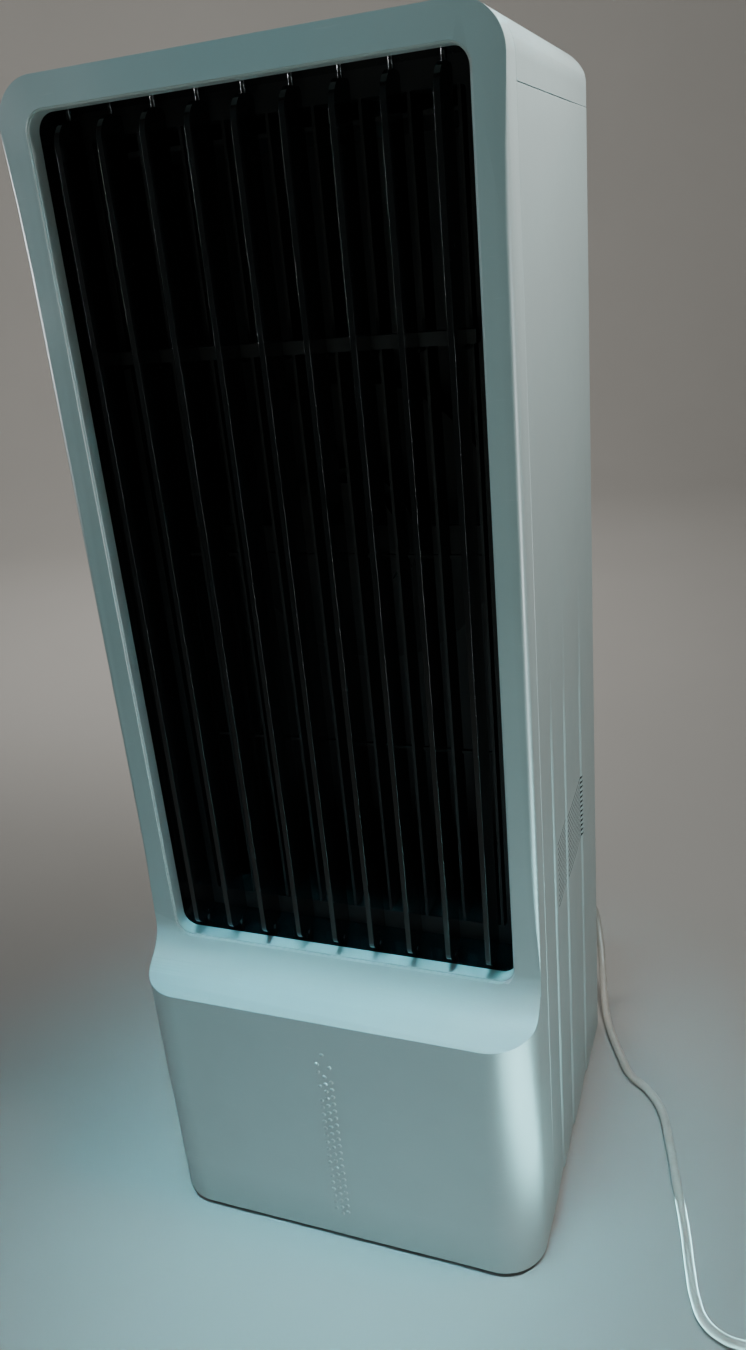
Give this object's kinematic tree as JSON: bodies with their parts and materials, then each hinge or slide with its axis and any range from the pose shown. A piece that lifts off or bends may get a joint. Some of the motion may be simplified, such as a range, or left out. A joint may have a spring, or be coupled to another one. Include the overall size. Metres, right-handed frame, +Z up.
{
  "type": "portable air conditioner",
  "caption": "Tall upright evaporative air cooler with swinging outlet vanes, a rear air grille, a slide-out water tank, push buttons on top and a mains lead.",
  "frame": {"origin": "on the floor, under the middle of the cabinet's box", "axes": "+Z up, -Y out of the air outlet, +X to the right seen from the front"},
  "size_m": [0.5085, 0.3207, 0.7208],
  "materials": {
    "shell_plastic": "satin pale blue-grey moulded plastic",
    "black_gloss": "polished black moulded plastic",
    "black_matt": "fine-grained black moulded plastic",
    "chassis_grey": "unpainted dark grey moulded plastic",
    "clear_plastic": "translucent pale blue plastic",
    "button_plastic": "smooth pale grey key caps",
    "circuit_board": "green lacquered board",
    "pad_paper": "stiff brown corrugated cellulose",
    "plated_steel": "bright plated steel",
    "rubber": "matt black rubber",
    "lead_white": "soft off-white lead sheath"
  },
  "bodies": {
    "cabinet": {"front_shell": "shell_plastic", "left_side_panel": "shell_plastic", "right_side_panel": "shell_plastic", "top_cover": "shell_plastic", "control_panel": "black_gloss", "indicator_window": "clear_plastic", "control_board": "circuit_board", "louvre_frame": "black_gloss", "outlet_guard": "black_matt", "vane_motor": "plated_steel", "plenum": "chassis_grey", "inlet_ring": "chassis_grey", "motor_bracket": "plated_steel", "blower_motor": "plated_steel", "cooling_pad": "pad_paper", "water_distributor": "chassis_grey", "feed_hose": "clear_plastic", "drip_deck": "chassis_grey", "base": "black_matt", "mains_box": "chassis_grey", "rear_upper_panel": "shell_plastic", "cord_gland": "rubber", "rear_screw_1": "plated_steel", "rear_screw_2": "plated_steel", "rear_screw_3": "plated_steel", "rear_screw_4": "plated_steel", "foot_1": "rubber", "foot_2": "rubber", "foot_3": "rubber", "foot_4": "rubber", "power_cord": "lead_white", "cord_coil": "lead_white", "plug": "lead_white", "plug_pin_1": "plated_steel", "plug_pin_2": "plated_steel"},
    "key_1": {"button_1": "button_plastic"},
    "key_2": {"button_2": "button_plastic"},
    "key_3": {"button_3": "button_plastic"},
    "key_4": {"button_4": "button_plastic"},
    "key_5": {"button_5": "button_plastic"},
    "swing_vane_1": {"vane_1": "black_gloss"},
    "swing_vane_2": {"vane_2": "black_gloss"},
    "swing_vane_3": {"vane_3": "black_gloss"},
    "swing_vane_4": {"vane_4": "black_gloss"},
    "swing_vane_5": {"vane_5": "black_gloss"},
    "swing_vane_6": {"vane_6": "black_gloss"},
    "swing_vane_7": {"vane_7": "black_gloss"},
    "swing_vane_8": {"vane_8": "black_gloss"},
    "swing_vane_9": {"vane_9": "black_gloss"},
    "link": {"vane_link": "black_matt"},
    "blower": {"blower_wheel": "black_matt", "motor_shaft": "plated_steel"},
    "rear_door": {"rear_grille": "shell_plastic", "dust_filter": "black_matt"},
    "tank": {"water_tank": "clear_plastic", "level_window": "clear_plastic", "pump": "black_matt", "riser_pipe": "clear_plastic"},
    "latch": {"tank_latch": "shell_plastic"}
  },
  "joints": [
    {"name": "button_1_press", "type": "slide", "parent": "cabinet", "child": "key_1", "axis": [0, 0, -1], "range_m": [0, 0.0012], "stiffness_N_per_m": 300},
    {"name": "button_2_press", "type": "slide", "parent": "cabinet", "child": "key_2", "axis": [0, 0, -1], "range_m": [0, 0.0012], "stiffness_N_per_m": 300},
    {"name": "button_3_press", "type": "slide", "parent": "cabinet", "child": "key_3", "axis": [0, 0, -1], "range_m": [0, 0.0012], "stiffness_N_per_m": 300},
    {"name": "button_4_press", "type": "slide", "parent": "cabinet", "child": "key_4", "axis": [0, 0, -1], "range_m": [0, 0.0012], "stiffness_N_per_m": 300},
    {"name": "button_5_press", "type": "slide", "parent": "cabinet", "child": "key_5", "axis": [0, 0, -1], "range_m": [0, 0.0012], "stiffness_N_per_m": 300},
    {"name": "vane_1_swing", "type": "hinge", "parent": "cabinet", "child": "swing_vane_1", "pos_m": [-0.1, -0.0726, 0.45], "axis": [0, 0, 1], "range_deg": [-30, 30]},
    {"name": "vane_2_swing", "type": "hinge", "parent": "cabinet", "child": "swing_vane_2", "pos_m": [-0.075, -0.0726, 0.45], "axis": [0, 0, 1], "range_deg": [-30, 30]},
    {"name": "vane_3_swing", "type": "hinge", "parent": "cabinet", "child": "swing_vane_3", "pos_m": [-0.05, -0.0726, 0.45], "axis": [0, 0, 1], "range_deg": [-30, 30]},
    {"name": "vane_4_swing", "type": "hinge", "parent": "cabinet", "child": "swing_vane_4", "pos_m": [-0.025, -0.0726, 0.45], "axis": [0, 0, 1], "range_deg": [-30, 30]},
    {"name": "vane_5_swing", "type": "hinge", "parent": "cabinet", "child": "swing_vane_5", "pos_m": [0, -0.0726, 0.45], "axis": [0, 0, 1], "range_deg": [-30, 30]},
    {"name": "vane_6_swing", "type": "hinge", "parent": "cabinet", "child": "swing_vane_6", "pos_m": [0.025, -0.0726, 0.45], "axis": [0, 0, 1], "range_deg": [-30, 30]},
    {"name": "vane_7_swing", "type": "hinge", "parent": "cabinet", "child": "swing_vane_7", "pos_m": [0.05, -0.0726, 0.45], "axis": [0, 0, 1], "range_deg": [-30, 30]},
    {"name": "vane_8_swing", "type": "hinge", "parent": "cabinet", "child": "swing_vane_8", "pos_m": [0.075, -0.0726, 0.45], "axis": [0, 0, 1], "range_deg": [-30, 30]},
    {"name": "vane_9_swing", "type": "hinge", "parent": "cabinet", "child": "swing_vane_9", "pos_m": [0.1, -0.0726, 0.45], "axis": [0, 0, 1], "range_deg": [-30, 30]},
    {"name": "link_slide", "type": "slide", "parent": "cabinet", "child": "link", "axis": [1, 0, 0], "range_m": [-0.00696, 0.00696]},
    {"name": "blower_spin", "type": "hinge", "parent": "cabinet", "child": "blower", "pos_m": [0, 0.045, 0.455], "axis": [0, 1, 0], "continuous": true},
    {"name": "rear_door_tilt", "type": "hinge", "parent": "cabinet", "child": "rear_door", "pos_m": [0, 0.127, 0.1725], "axis": [-1, 0, 0], "range_deg": [0, 30]},
    {"name": "tank_slide", "type": "slide", "parent": "cabinet", "child": "tank", "axis": [0, 1, 0], "range_m": [0, 0.15]},
    {"name": "latch_turn", "type": "hinge", "parent": "tank", "child": "latch", "pos_m": [0.1, 0.125, 0.1528], "axis": [0, 1, 0], "range_deg": [0, 90]}
  ],
  "couplings": [
    {"joint": "vane_1_swing", "follows": "link_slide", "rad_per_m": -75.19},
    {"joint": "vane_2_swing", "follows": "link_slide", "rad_per_m": -75.19},
    {"joint": "vane_3_swing", "follows": "link_slide", "rad_per_m": -75.19},
    {"joint": "vane_4_swing", "follows": "link_slide", "rad_per_m": -75.19},
    {"joint": "vane_5_swing", "follows": "link_slide", "rad_per_m": -75.19},
    {"joint": "vane_6_swing", "follows": "link_slide", "rad_per_m": -75.19},
    {"joint": "vane_7_swing", "follows": "link_slide", "rad_per_m": -75.19},
    {"joint": "vane_8_swing", "follows": "link_slide", "rad_per_m": -75.19},
    {"joint": "vane_9_swing", "follows": "link_slide", "rad_per_m": -75.19}
  ]
}
